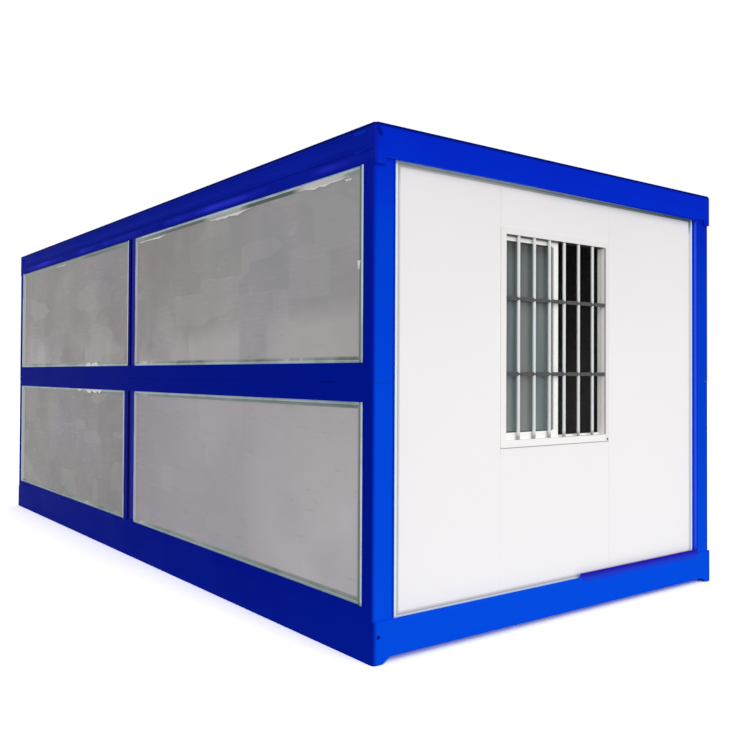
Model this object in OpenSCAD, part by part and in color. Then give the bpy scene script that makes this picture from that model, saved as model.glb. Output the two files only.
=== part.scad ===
// Folding container house: a steel base and roof frame, side walls hinged at mid height and
// end walls hinged under the roof.  X is the length, Y the width, Z is up.  The window end
// is at +X; "left" is the -Y side, as seen by someone facing the window end from outside.

/* [House] */
// Overall length
length = 5950; // [5200:10:7000]
// Overall width
width = 2580; // [2200:10:3000]
// Overall height
height = 2410; // [2320:10:2800]
// Thickness of the side walls and of the end walls
wall = 60; // [50:2:70]
// How far the corner posts stand back from the end beams
post_setback = 15; // [8:1:20]
// Gap at the fold and at the foot of the side walls
fold_gap = 0.5; // [0.5:0.5:3]
// Gap between the side walls and the roof beams
head_gap = 3; // [1:0.5:6]

/* [Base] */
// Height of the corner feet and the top of the side beams
base_top = 188; // [170:2:220]
// Clear height under the end beams of the base
ground_gap = 28; // [10:2:40]
// Height of the floor surface
floor_top = 150; // [130:2:160]
// Thickness of the floor board
floor_board_t = 20; // [15:1:30]
// Height of the floor joists
joist_h = 70; // [50:2:80]
// Width of each floor joist
joist_w = 50; // [30:2:80]
// Number of floor joists
joists = 11; // [5:1:15]
// Length of a corner foot along the side, and depth of the end beams
foot_x = 130; // [120:5:200]
// Width of a corner foot along the end
foot_y = 100; // [70:1:110]
// Width of the curve from the foot to the end beam
foot_curve = 60; // [20:2:80]
// Radius of the upright outer corners
corner_r = 11; // [3:1:16]
// How far the bottom tip of a foot is cut off
foot_tip = 14; // [4:1:24]
// How far the end faces rise above the side beams
lip_rise = 2; // [0:1:30]
// Radius of the top edge of the end faces
lip_r = 12; // [2:1:14]

/* [Roof] */
// Height of the roof side beams
roof_beam_h = 116; // [100:2:140]
// Height of the roof end beam face
roof_face_h = 152; // [130:1:180]
// Height of the roof end beam box behind its face
roof_box_h = 65; // [60:1:80]
// Length of a roof corner block along the side
block_x = 80; // [60:5:100]
// Length of the leg plate under a roof corner block
block_leg = 68; // [40:2:90]
// How far the top tip of a roof corner block is cut off
block_tip = 21; // [4:1:30]
// Radius of the upper outer edges of the roof
roof_edge_r = 4; // [2:0.5:8]
// Radius of the lower outer edges of the roof beams
roof_lower_r = 9; // [2:1:12]
// Thickness of the ceiling panel
ceiling_t = 8; // [5:1:12]
// Height of the roof purlins
purlin_h = 30; // [20:1:34]
// Number of roof purlins
purlins = 9; // [5:1:13]
// Height of the ribs in the roof sheet
rib_h = 16; // [8:1:18]
// Thickness of the roof sheet
sheet_t = 2; // [1:0.5:3]
// Number of ribs in the roof sheet
ribs = 22; // [10:1:28]
// Depth of the recess along the roof side beams
groove_d = 5; // [2:0.5:8]
// Distance from the top to the recess along the roof side beams
groove_top = 32; // [15:1:40]
// Height of the flat of that recess
groove_h = 32; // [20:1:40]
// Height of the slope under that flat
groove_slope = 26; // [10:1:30]
// Height of the slope over that flat
groove_ease = 8; // [2:1:12]

/* [Side walls] */
// Height of the fold line
fold_level = 1249; // [1150:1:1400]
// Width of the end stile of a leaf, with the post setback
stile_show = 93; // [70:1:130]
// Width of the middle post of a leaf
mullion_w = 112; // [60:2:140]
// How much wider the middle post of a lower leaf is, towards the door end
mullion_more = 62; // [0:2:80]
// Width of the groove down a middle post
mullion_groove_w = 36; // [20:2:50]
// Depth of the groove down a middle post
mullion_groove_d = 7; // [3:0.5:8]
// Height of the foot rail and of the head rail
outer_rail = 57; // [40:1:80]
// Height of the rails beside the fold
fold_rail = 89; // [60:1:110]
// Width of the post face on the end of the house
post_face = 123; // [90:1:140]
// Thickness of the post face
post_face_t = 20; // [10:1:25]
// Depth of the panels behind the outer face of the frame
side_recess = 14; // [8:1:20]
// Thickness of a side panel
side_panel_t = 40; // [20:1:45]
// Width of the trim bead round a panel
bead_w = 30; // [15:1:40]
// Width of the flat lip on the outside of the bead
bead_lip = 13; // [4:0.5:16]
// Thickness of the trim bead
bead_t = 6; // [4:0.5:8]

/* [Side wall hinges] */
// Length of one side wall hinge
hinge_l = 120; // [60:10:200]
// Distance of the outermost hinges from the middle of the house
hinge_reach = 2575; // [2000:25:2600]
// Radius of the barrels on the fold line
fold_barrel_r = 4; // [3:0.5:4]
// Height and depth of the pockets on the fold line
pocket = 9; // [9:0.5:16]
// Thickness of a hinge leaf
hinge_leaf_t = 4; // [3:0.5:6]
// Height of the leaf of a foot or head hinge
inner_leaf_h = 70; // [30:2:76]
// Radius of the barrels of the foot and head hinges
inner_barrel_r = 5; // [4:0.5:7]

/* [End walls] */
// Gap between the post face and the end wall behind it
post_gap = 6; // [5:0.5:10]
// Gap between an end wall and the side walls
end_side_gap = 20; // [16:1:28]
// Gap between an end wall and the floor
end_floor_gap = 8; // [7:0.5:12]
// Height of the hinge line below the roof end beam
pin_drop = 10; // [9:0.5:14]
// Distance of the hinge line from the inner face and the top edge
pin_out = 10; // [9:0.5:14]
// Width of the upright members of an end wall
end_stile = 48; // [40:1:60]
// Radius of a hinge barrel
barrel_r = 8; // [7:0.5:9]
// Radius of a hinge pin
pin_r = 5; // [3:0.5:6]
// Clearance between a barrel and its pin
pin_clear = 0.75; // [0.5:0.25:1]
// Length of one hinge barrel
barrel_l = 60; // [30:5:100]
// Side gap between neighbouring barrels
barrel_gap = 2; // [1:0.5:3]
// Distance of the outer hinges from the middle of the end wall
hinge_y = 900; // [600:10:980]
// Height of the foot member of an end wall
end_foot = 20; // [20:1:40]
// Height of the head member of an end wall
end_head = 57; // [30:1:60]
// Gap between the post face and the end wall trim bead
bead_gap = 16; // [3:1:20]
// Thickness of the end wall trim bead
end_bead_t = 4; // [2:0.5:5]
// Gap at the seams between wall panels
seam = 1; // [1:0.5:4]

/* [Window] */
// Width of the window with its trim
window_w = 842; // [700:2:1000]
// Height of the window with its trim
window_h = 1122; // [900:2:1300]
// Middle of the window across the house
window_y = -64; // [-120:2:120]
// Height of the panel over the window
window_over = 231; // [150:1:300]
// Width of the window trim
window_trim = 37; // [25:1:50]
// How far the trim stands out from the panels
trim_out = 4; // [2:0.5:6]
// Width of the meeting stile of a sash
sash_w = 48; // [30:1:55]
// Width of the other stile and of the top rail of a sash
sash_top = 27; // [18:1:40]
// Height of the bottom rail of a sash
sash_foot = 37; // [20:1:50]
// Thickness of one sash
sash_t = 16; // [12:1:18]
// Overlap of the two sashes in the middle
sash_lap = 56; // [10:1:80]
// Thickness of the glass
glass_t = 5; // [4:1:8]
// Radius of the window bars
bar_r = 9; // [6:0.5:10]
// Number of window bars
bars = 6; // [4:1:6]
// Distance from bar to bar
bar_pitch = 115; // [80:1:120]
// Middle of the bars across the house
bars_y = -63; // [-80:1:0]
// Height of the cross bars
cross_h = 20; // [12:1:30]
// Thickness of the cross bars
cross_t = 4; // [3:0.5:6]
// Height of a cross bar where it is notched round an upright bar
cross_neck = 10; // [6:1:20]
// Height of the lower cross bar over the foot of the opening
cross_low = 338; // [200:2:400]
// Distance between the two cross bars
cross_pitch = 386; // [250:2:450]

/* [Door] */
// Width of the door frame
door_w = 940; // [800:5:1100]
// Height of the panel over the door
door_over = 88; // [60:5:200]
// Middle of the door across the house
door_y = 0; // [-150:5:150]
// Width of the door frame members
door_frame_w = 45; // [35:1:60]
// Gap round the door leaf
door_gap = 3; // [2:0.5:5]
// Thickness of the door leaf
door_t = 44; // [35:1:50]
// Height of the handle above the door sill
handle_up = 950; // [800:10:1100]
// How far the handle stands off either face of the door leaf
handle_reach = 32; // [24:1:36]

/* [Hidden] */
half_l = length/2;
half_w = width/2;
post_x = half_l - post_setback;
inner_y = half_w - wall;
inner_x = half_l - foot_x;
leaf_bottom = base_top + fold_gap;
leaf_top = height - roof_beam_h - head_gap;
leaf_mid_lo = fold_level - fold_gap/2;
leaf_mid_hi = fold_level + fold_gap/2;
roof_box_z = height - roof_box_h;
ceiling_z = roof_box_z + 2;
purlin_z = ceiling_z + ceiling_t;
sheet_z = purlin_z + purlin_h;
lip_top = base_top + lip_rise;
face_bottom = height - roof_face_h;
end_x = post_x - post_face_t - post_gap;
end_in_x = end_x - wall;
end_half = inner_y - end_side_gap;
end_bottom = floor_top + end_floor_gap;
pin_x = end_in_x - pin_out;
pin_z = roof_box_z - pin_drop;
end_top = pin_z - pin_out;
end_z0 = end_bottom + end_foot;
end_z1 = end_top - end_head;
hinge_x = [for (i = [-2 : 2]) i*hinge_reach/2];
sight_y = half_w - post_face;
win_lo = window_y - window_w/2;
win_hi = window_y + window_w/2;
win_top = end_z1 - window_over;
window_z = win_top - window_h;
open_lo = win_lo + window_trim;
open_hi = win_hi - window_trim;
open_z0 = window_z + window_trim;
open_z1 = win_top - window_trim;
bar_x = end_x + trim_out - cross_t - bar_r;
sash_out_x = bar_x - bar_r - 5 - sash_t;
sash_in_x = sash_out_x - 3 - sash_t;
sash_hi = open_lo + (open_hi - open_lo + sash_lap)/2;
door_lo = door_y - door_w/2;
door_hi = door_y + door_w/2;
door_sill_z = end_z0;
door_top = end_z1 - door_over;

// Where upright bar i stands across the house.
function bar_at(i) = bars_y + (i - (bars - 1)/2)*bar_pitch;

// A box from its low corner to its high corner.
module span(a, b) {
    translate(a) cube(b - a);
}

// Copies a +X piece to both ends.
module both_ends() {
    children();
    mirror([1, 0, 0]) children();
}

// Copies a +Y piece to both sides.
module both_sides() {
    children();
    mirror([0, 1, 0]) children();
}

// Corner feet: under the wall they reach floor height, behind it they are flush with the
// side beams, and their face stands in front of the posts.
module base_corner_blocks() {
    color("#1236b4")
    both_ends() both_sides()
        difference() {
            union() {
                foot_prism(half_l - foot_x, half_l, floor_top);
                span([half_l - foot_x, inner_y, ground_gap], [half_l, half_w, base_top]);
                foot_prism(post_x, half_l, lip_top);
            }
            upright_cut(half_l, 0, lip_top);
            lip_cut();
            mirror([0, 0, 1]) tip_cut(0, foot_tip);
        }
}

// The foot's outline on the end face, from x0 to x1 and up to z1.
module foot_prism(x0, x1, z1) {
    curve = [for (a = [0 : 30 : 180])
        [half_w - foot_y + foot_curve*a/180, ground_gap*(1 + cos(a))/2]];
    translate([x0, 0, 0]) rotate([90, 0, 90]) linear_extrude(x1 - x0)
        polygon(concat([[half_w - foot_y, z1]], curve, [[half_w, 0], [half_w, z1]]));
}

// What comes off a square edge to round it, where the edge runs up the Z axis and the
// solid lies at -X and -Y.
module edge_cut(r, l) {
    translate([-r, -r, 0]) linear_extrude(l)
        difference() {
            square(r + 1);
            circle(r, $fn = 64);
        }
}

// Rounds the upright outer edge at x between two heights.
module upright_cut(x, z0, z1) {
    translate([x, half_w, z0 - 1]) edge_cut(corner_r, z1 - z0 + 2);
}

// Rounds an edge that runs across the end of the house, under a face at z.
module cross_cut(z, r) {
    translate([half_l, half_w + 1, z]) rotate([90, 0, 0]) edge_cut(r, width + 2);
}

// Rounds the top edge of the end face of the base.
module lip_cut() {
    cross_cut(lip_top, lip_r);
}

// Cuts the outer tip off a corner block, t along each of its edges.
module tip_cut(z, t) {
    k = t + 3;
    translate([half_l + 1, half_w + 1, z + 1])
        polyhedron([[0, 0, 0], [-k, 0, 0], [0, -k, 0], [0, 0, -k]],
            [[0, 1, 2], [0, 3, 1], [0, 2, 3], [1, 3, 2]]);
}

module base_side_beams() {
    color("#0a1f8c")
    both_sides()
        span([-half_l + foot_x, inner_y, 0], [half_l - foot_x, half_w, base_top]);
}

module base_end_beams() {
    color("#1236b4")
    both_ends()
        difference() {
            union() {
                span([inner_x, -half_w + foot_y, ground_gap],
                    [half_l, half_w - foot_y, floor_top]);
                span([post_x, -half_w + foot_y, ground_gap],
                    [half_l, half_w - foot_y, lip_top]);
            }
            lip_cut();
        }
}

module floor_joists() {
    color("#30343c")
    for (i = [0 : joists - 1])
        let (x = -inner_x + (i + 0.5)*2*inner_x/joists)
        span([x - joist_w/2, -inner_y, floor_top - floor_board_t - joist_h],
            [x + joist_w/2, inner_y, floor_top - floor_board_t]);
}

module floor_board() {
    color("#8a6f4d")
    span([-inner_x, -inner_y, floor_top - floor_board_t], [inner_x, inner_y, floor_top]);
}

// One leaf of the +Y side wall: stiles, rails and a middle post that is more mm wider on
// the door side.
module leaf_frame(z0, z1, low_rail, high_rail, more) {
    difference() {
        span([-post_x, inner_y, z0], [post_x, half_w, z1]);
        for (s = [-1, 1])
            let (a = mullion_w/2, b = half_l - stile_show)
            span([s > 0 ? a : -b, inner_y - 1, z0 + low_rail],
                [s > 0 ? b : -a - more, half_w + 1, z1 - high_rail]);
        both_ends() upright_cut(post_x, z0, z1);
        // groove down the middle post, between the rails
        translate([-more/2, 0, 0])
            span([-mullion_groove_w/2, half_w - mullion_groove_d, z0 + low_rail],
                [mullion_groove_w/2, half_w + 1, z1 - high_rail]);
        // pockets for the hinges on the fold line
        for (x = hinge_x)
            span([x - hinge_l/2, half_w - pocket, fold_level - pocket/2],
                [x + hinge_l/2, half_w + 1, fold_level + pocket/2]);
    }
}

// The strips that turn in from the end stiles of the +Y side wall, in front of the end
// walls.
module post_faces() {
    both_ends() {
        span([post_x - post_face_t, sight_y, leaf_bottom], [post_x, inner_y, leaf_mid_lo]);
        span([post_x - post_face_t, sight_y, leaf_mid_hi], [post_x, inner_y, leaf_top]);
    }
}

// The two panels of one leaf, the one on the door side more mm narrower.
module leaf_panels(z0, z1, more) {
    for (s = [-1, 1])
        let (a = mullion_w/2, b = half_l - stile_show)
        span([s > 0 ? a : -b, half_w - side_recess - side_panel_t, z0],
            [s > 0 ? b : -a - more, half_w - side_recess, z1]);
}

// A mitred bead on the XY plane, w long and h wide: a flat lip outside, then a slope down
// to a thin inner edge.
module bead(w, h, t) {
    e = 1;
    slope = (bead_w - bead_lip)/(t - e);
    a = bead_lip - slope;
    b = bead_w + slope*e;
    difference() {
        cube([w, h, t]);
        polyhedron([[b, b, 0], [w - b, b, 0], [w - b, h - b, 0], [b, h - b, 0],
            [a, a, t + 1], [w - a, a, t + 1], [w - a, h - a, t + 1], [a, h - a, t + 1]],
            [[0, 1, 2, 3], [4, 7, 6, 5], [0, 4, 5, 1], [1, 5, 6, 2], [2, 6, 7, 3],
            [3, 7, 4, 0]]);
        translate([bead_w, bead_w, -1]) cube([w - 2*bead_w, h - 2*bead_w, t + 1]);
    }
}

module side_beads() {
    for (s = [-1, 1], k = [0, 1])
        let (a = mullion_w/2, b = half_l - stile_show,
            z0 = k == 0 ? leaf_bottom + outer_rail : leaf_mid_hi + fold_rail,
            z1 = k == 0 ? leaf_mid_lo - fold_rail : leaf_top - outer_rail,
            c = s < 0 && k == 0 ? a + mullion_more : a)
        translate([s > 0 ? b : -c, half_w - side_recess, z0])
            rotate([90, 0, 180]) bead(b - c, z1 - z0, bead_t);
}

module left_lower_frame() {
    color("#0a1f8c")
    mirror([0, 1, 0]) leaf_frame(leaf_bottom, leaf_mid_lo, outer_rail, fold_rail, mullion_more);
}

module left_upper_frame() {
    color("#0a1f8c")
    mirror([0, 1, 0]) leaf_frame(leaf_mid_hi, leaf_top, fold_rail, outer_rail, 0);
}

module right_lower_frame() {
    color("#0a1f8c") leaf_frame(leaf_bottom, leaf_mid_lo, outer_rail, fold_rail, mullion_more);
}

module right_upper_frame() {
    color("#0a1f8c") leaf_frame(leaf_mid_hi, leaf_top, fold_rail, outer_rail, 0);
}

module left_lower_panels() {
    color("#c9c9c7")
    mirror([0, 1, 0]) leaf_panels(leaf_bottom + outer_rail, leaf_mid_lo - fold_rail, mullion_more);
}

module left_upper_panels() {
    color("#c9c9c7")
    mirror([0, 1, 0]) leaf_panels(leaf_mid_hi + fold_rail, leaf_top - outer_rail, 0);
}

module right_lower_panels() {
    color("#c9c9c7") leaf_panels(leaf_bottom + outer_rail, leaf_mid_lo - fold_rail, mullion_more);
}

module right_upper_panels() {
    color("#c9c9c7") leaf_panels(leaf_mid_hi + fold_rail, leaf_top - outer_rail, 0);
}

module left_post_faces() {
    color("#1236b4") mirror([0, 1, 0]) post_faces();
}

module right_post_faces() {
    color("#1236b4") post_faces();
}

module left_beads() {
    color("#9fb0a8") mirror([0, 1, 0]) side_beads();
}

module right_beads() {
    color("#9fb0a8") side_beads();
}

// Hinges on the fold line sit in pockets in the outer face.
module fold_hinges() {
    color("#0a1f8c")
    both_sides()
        for (x = hinge_x) {
            translate([x - hinge_l/2, half_w - fold_barrel_r, fold_level])
                rotate([0, 90, 0]) cylinder(r = fold_barrel_r, h = hinge_l, $fn = 32);
            span([x - hinge_l/2, half_w - pocket, fold_level - pocket/2],
                [x + hinge_l/2, half_w - fold_barrel_r, fold_level + pocket/2]);
        }
}

// Hinges on the inner face, at the foot and at the head of a side wall.
module inner_hinges(z) {
    both_sides()
        for (x = hinge_x) {
            span([x - hinge_l/2, inner_y - hinge_leaf_t, z - inner_leaf_h/2],
                [x + hinge_l/2, inner_y, z + inner_leaf_h/2]);
            translate([x - hinge_l/2, inner_y - inner_barrel_r, z])
                rotate([0, 90, 0]) cylinder(r = inner_barrel_r, h = hinge_l, $fn = 32);
        }
}

module foot_hinges() {
    color("#8d9096") inner_hinges(base_top + fold_gap/2);
}

module head_hinges() {
    color("#8d9096") inner_hinges(leaf_top + head_gap/2);
}

module roof_side_beams() {
    color("#0a1f8c")
    both_sides()
        difference() {
            span([-half_l + block_x, inner_y, height - roof_beam_h],
                [half_l - block_x, half_w, height]);
            // recess with sloping edges
            translate([-half_l, half_w, height - groove_top]) rotate([90, 0, 90])
                linear_extrude(length)
                polygon([[1, groove_ease], [0, groove_ease], [-groove_d, 0],
                    [-groove_d, -groove_h], [0, -groove_h - groove_slope],
                    [1, -groove_h - groove_slope]]);
            side_cut(height, roof_edge_r);
            lower_side_cut();
        }
}

// Rounds an edge that runs along the side of the house, under a face at z.
module side_cut(z, r) {
    translate([half_l + 1, half_w, z]) rotate([0, 0, 90]) rotate([90, 0, 0])
        mirror([0, 0, 1]) edge_cut(r, length + 2);
}

// Rounds the lower edge of the side of the roof.
module lower_side_cut() {
    translate([0, 0, 2*(height - roof_beam_h)]) mirror([0, 0, 1])
        side_cut(height - roof_beam_h, roof_lower_r);
}

module roof_end_beams() {
    color("#1236b4")
    both_ends()
        difference() {
            union() {
                span([inner_x, -inner_y, roof_box_z], [half_l, inner_y, height]);
                span([post_x, -inner_y, face_bottom], [half_l, inner_y, height]);
            }
            cross_cut(height, roof_edge_r);
            translate([0, 0, 2*face_bottom]) mirror([0, 0, 1])
                cross_cut(face_bottom, roof_lower_r);
        }
}

module roof_corner_blocks() {
    color("#1236b4")
    both_ends() both_sides()
        difference() {
            union() {
                span([half_l - block_x, inner_y, height - roof_beam_h],
                    [half_l, half_w, height]);
                span([post_x, inner_y, height - roof_beam_h - block_leg],
                    [half_l, half_w, height]);
            }
            upright_cut(half_l, height - roof_beam_h - block_leg, height);
            cross_cut(height, roof_edge_r);
            side_cut(height, roof_edge_r);
            tip_cut(height, block_tip);
        }
}

module roof_purlins() {
    color("#c4c6c8")
    for (i = [0 : purlins - 1])
        let (x = -inner_x + (i + 0.5)*2*inner_x/purlins)
        span([x - 25, -inner_y, purlin_z], [x + 25, inner_y, sheet_z]);
}

// Ribbed sheet: the ribs run across the house.
module roof_sheet() {
    pitch = 2*inner_x/ribs;
    low = [for (i = [0 : ribs - 1]) let (x = -inner_x + i*pitch)
        each [[x, 0], [x + pitch*0.5, 0], [x + pitch*0.6, rib_h], [x + pitch*0.9, rib_h]]];
    line = concat(low, [[inner_x, 0]]);
    back = [for (i = [len(line) - 1 : -1 : 0]) line[i] + [0, sheet_t]];
    color("#b9bcbf")
    translate([0, inner_y, sheet_z]) rotate([90, 0, 0])
        linear_extrude(2*inner_y) polygon(concat(line, back));
}

module ceiling_panel() {
    color("#e8e8e6")
    span([-inner_x, -inner_y, ceiling_z], [inner_x, inner_y, ceiling_z + ceiling_t]);
}

// Three pins under the +X roof end beam, each held by two lugs.
module end_lugs() {
    for (y = [-hinge_y, 0, hinge_y]) {
        for (s = [-1, 1])
            translate([0, y + s*(barrel_l + barrel_gap), 0]) {
                span([pin_x - barrel_r, -barrel_l/2, pin_z],
                    [pin_x + barrel_r, barrel_l/2, roof_box_z]);
                translate([pin_x, barrel_l/2, pin_z]) rotate([90, 0, 0])
                    cylinder(r = barrel_r, h = barrel_l, $fn = 48);
            }
        translate([pin_x, y + 1.5*barrel_l, pin_z]) rotate([90, 0, 0])
            cylinder(r = pin_r, h = 3*barrel_l, $fn = 48);
    }
}

// The barrels of the +X end wall, each with a leaf on the inner face.
module end_barrels() {
    for (y = [-hinge_y, 0, hinge_y])
        difference() {
            union() {
                translate([pin_x, y + barrel_l/2, pin_z]) rotate([90, 0, 0])
                    cylinder(r = barrel_r, h = barrel_l, $fn = 48);
                span([end_in_x - 5, y - barrel_l/2, end_top - 60],
                    [end_in_x, y + barrel_l/2, pin_z]);
            }
            translate([pin_x, y + barrel_l, pin_z]) rotate([90, 0, 0])
                cylinder(r = pin_r + pin_clear, h = 2*barrel_l, $fn = 48);
        }
}

module window_end_lugs() {
    color("#8d9096") end_lugs();
}

module door_end_lugs() {
    color("#8d9096") mirror([1, 0, 0]) end_lugs();
}

// The steel surround of the +X end wall.
module end_wall_frame() {
    difference() {
        span([end_in_x, -end_half, end_bottom], [end_x, end_half, end_top]);
        span([end_in_x - 1, -end_half + end_stile, end_z0],
            [end_x + 1, end_half - end_stile, end_z1]);
    }
}

module end_wall_bead() {
    translate([end_x, -sight_y + bead_gap, end_z0]) rotate([90, 0, 90])
        bead(2*(sight_y - bead_gap), end_z1 - end_z0, end_bead_t);
}

module window_wall_frame() {
    color("#1236b4") end_wall_frame();
}

module window_wall_panels() {
    color("#f1f0ef") {
        span([end_in_x, -end_half + end_stile, end_z0], [end_x, win_lo - seam, end_z1]);
        span([end_in_x, win_hi + seam, end_z0], [end_x, end_half - end_stile, end_z1]);
        span([end_in_x, win_lo, end_z0], [end_x, win_hi, window_z]);
        span([end_in_x, win_lo, win_top], [end_x, win_hi, end_z1]);
    }
}

module window_wall_bead() {
    color("#9fb0a8") end_wall_bead();
}

module window_wall_barrels() {
    color("#8d9096") end_barrels();
}

module window_frame() {
    color("#f4f4f2")
    difference() {
        span([end_in_x, win_lo, window_z], [end_x + trim_out, win_hi, win_top]);
        span([end_in_x - 1, open_lo, open_z0], [end_x + trim_out + 1, open_hi, open_z1]);
    }
}

// Both sashes stand at the left of the opening, one behind the other.
module window_sashes() {
    color("#f4f4f2")
    for (x = [sash_out_x, sash_in_x])
        difference() {
            span([x, open_lo, open_z0], [x + sash_t, sash_hi, open_z1]);
            span([x - 1, open_lo + sash_top, open_z0 + sash_foot],
                [x + sash_t + 1, sash_hi - sash_w, open_z1 - sash_top]);
        }
}

module window_glass() {
    color("#9db0ac", 0.5)
    for (x = [sash_out_x, sash_in_x])
        span([x + sash_t/2 - glass_t/2, open_lo + sash_top, open_z0 + sash_foot],
            [x + sash_t/2 + glass_t/2, sash_hi - sash_w, open_z1 - sash_top]);
}

// Upright bars held at both ends by the window frame.
module window_bars() {
    color("#dfe3e4")
    for (i = [0 : bars - 1])
        translate([bar_x, bar_at(i), open_z0])
            cylinder(r = bar_r, h = open_z1 - open_z0, $fn = 32);
}

// Two flat bars across the front of the upright bars, notched round each of them.
module window_cross_bars() {
    color("#4a4b4d")
    for (k = [0, 1])
        let (z = open_z0 + cross_low + k*cross_pitch, x = bar_x + bar_r)
        difference() {
            span([x, open_lo, z - cross_h/2], [x + cross_t, open_hi, z + cross_h/2]);
            for (i = [0 : bars - 1], side = [-1, 1])
                translate([x - 1, bar_at(i) - bar_r - 1, z + side*(cross_neck + cross_h)/2])
                    translate([0, 0, -cross_h/2])
                        cube([cross_t + 2, 2*bar_r + 2, cross_h]);
        }
}

module door_wall_frame() {
    color("#1236b4") mirror([1, 0, 0]) end_wall_frame();
}

module door_wall_panels() {
    color("#f1f0ef")
    mirror([1, 0, 0]) {
        span([end_in_x, -end_half + end_stile, end_z0], [end_x, door_lo, end_z1]);
        span([end_in_x, door_hi, end_z0], [end_x, end_half - end_stile, end_z1]);
        span([end_in_x, door_lo + seam, door_top], [end_x, door_hi - seam, end_z1]);
    }
}

module door_wall_bead() {
    color("#9fb0a8")
    mirror([1, 0, 0])
        difference() {
            end_wall_bead();
            // stops at the door frame
            span([end_x - 1, door_lo, end_z0 - 1], [end_x + end_bead_t + 1, door_hi, door_top]);
        }
}

module door_wall_barrels() {
    color("#8d9096") mirror([1, 0, 0]) end_barrels();
}

module door_frame() {
    color("#1236b4")
    mirror([1, 0, 0])
        difference() {
            span([end_in_x, door_lo, door_sill_z], [end_x + trim_out, door_hi, door_top]);
            span([end_in_x - 1, door_lo + door_frame_w, door_sill_z + door_frame_w/2],
                [end_x + trim_out + 1, door_hi - door_frame_w, door_top - door_frame_w]);
        }
}

// A closed steel leaf with its three hinge barrels against the frame.
module door_leaf() {
    color("#e9e9e7")
    mirror([1, 0, 0]) {
        span([end_x - door_t, door_lo + door_frame_w + door_gap,
                door_sill_z + door_frame_w/2 + door_gap],
            [end_x, door_hi - door_frame_w - door_gap, door_top - door_frame_w - door_gap]);
        for (k = [0.14, 0.5, 0.86])
            let (y = door_lo + door_frame_w + door_gap,
                z = door_sill_z + k*(door_top - door_sill_z)) {
                translate([end_x + trim_out + 6, y - door_gap/2, z - 50])
                    cylinder(r = 6, h = 100, $fn = 24);
                span([end_x, y, z - 50], [end_x + trim_out + 10, y + 4, z + 50]);
            }
    }
}

module door_handle() {
    y = door_hi - door_frame_w - 70;
    z = door_sill_z + handle_up;
    color("#8d9096")
    mirror([1, 0, 0])
        for (s = [0, 1])
            translate([s == 0 ? end_x : end_x - door_t, 0, 0])
            mirror([s, 0, 0]) {
                span([0, y - 20, z - 110], [6, y + 20, z + 110]);
                translate([0, y, z + 40]) rotate([0, 90, 0])
                    cylinder(r = 9, h = handle_reach, $fn = 32);
                span([handle_reach - 11, y - 110, z + 31], [handle_reach, y + 9, z + 49]);
            }
}

base_corner_blocks();
base_side_beams();
base_end_beams();
floor_joists();
floor_board();
left_lower_frame();
left_upper_frame();
right_lower_frame();
right_upper_frame();
left_lower_panels();
left_upper_panels();
right_lower_panels();
right_upper_panels();
left_post_faces();
right_post_faces();
left_beads();
right_beads();
foot_hinges();
fold_hinges();
head_hinges();
roof_side_beams();
roof_end_beams();
roof_corner_blocks();
roof_purlins();
roof_sheet();
ceiling_panel();
window_end_lugs();
door_end_lugs();
window_wall_frame();
window_wall_panels();
window_wall_bead();
window_wall_barrels();
window_frame();
window_sashes();
window_glass();
window_bars();
window_cross_bars();
door_wall_frame();
door_wall_panels();
door_wall_bead();
door_wall_barrels();
door_frame();
door_leaf();
door_handle();
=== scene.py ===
# Folding container house: blue enamelled steel base, roof and wall frames, white coated
# panels in folded beads, a barred sliding window in the +X end wall and a door at -X.
import math
import random

import bmesh
import bpy
from mathutils import Matrix, Vector


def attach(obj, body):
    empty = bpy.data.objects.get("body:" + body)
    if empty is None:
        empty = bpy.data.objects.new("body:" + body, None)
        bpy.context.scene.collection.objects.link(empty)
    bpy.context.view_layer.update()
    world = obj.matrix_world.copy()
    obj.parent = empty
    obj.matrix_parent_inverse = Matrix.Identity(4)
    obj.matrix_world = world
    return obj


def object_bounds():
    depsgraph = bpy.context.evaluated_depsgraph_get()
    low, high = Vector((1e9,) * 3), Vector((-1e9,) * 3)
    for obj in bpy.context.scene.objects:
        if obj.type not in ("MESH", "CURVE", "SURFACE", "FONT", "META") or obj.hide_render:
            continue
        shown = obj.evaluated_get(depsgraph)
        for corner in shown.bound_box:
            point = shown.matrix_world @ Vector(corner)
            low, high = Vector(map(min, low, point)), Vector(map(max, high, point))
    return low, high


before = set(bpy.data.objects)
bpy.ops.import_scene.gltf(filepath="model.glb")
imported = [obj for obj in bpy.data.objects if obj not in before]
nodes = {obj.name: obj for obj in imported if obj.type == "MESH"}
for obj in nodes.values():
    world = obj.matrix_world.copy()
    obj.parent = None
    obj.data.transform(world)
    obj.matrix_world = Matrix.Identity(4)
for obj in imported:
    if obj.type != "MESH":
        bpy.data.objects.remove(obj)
cad_low, cad_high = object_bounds()
half_length, half_width, top = cad_high

# ---------------------------------------------------------------------------------------
# Base frame: four corner feet, two side beams and two end beams of cold rolled steel,
# welded, ground and sprayed with gloss enamel, and a flashing over one end wall's foot.
# ---------------------------------------------------------------------------------------


def linear(hex_colour):
    """An sRGB hex colour as the linear RGBA that a shader takes."""
    parts = [int(hex_colour[i:i + 2], 16) / 255 for i in (1, 3, 5)]
    return (*(part / 12.92 if part <= 0.04045 else ((part + 0.055) / 1.055) ** 2.4
              for part in parts), 1)


def fill(tree, node, inputs):
    """Sets or links each named or numbered input of a node; colours come as hex."""
    for name, value in inputs.items():
        if isinstance(value, bpy.types.Node):
            value = next(output for output in value.outputs if output.enabled)
        if isinstance(value, bpy.types.NodeSocket):
            tree.links.new(value, node.inputs[name])
        else:
            colour = isinstance(value, str)
            node.inputs[name].default_value = linear(value) if colour else value


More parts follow.
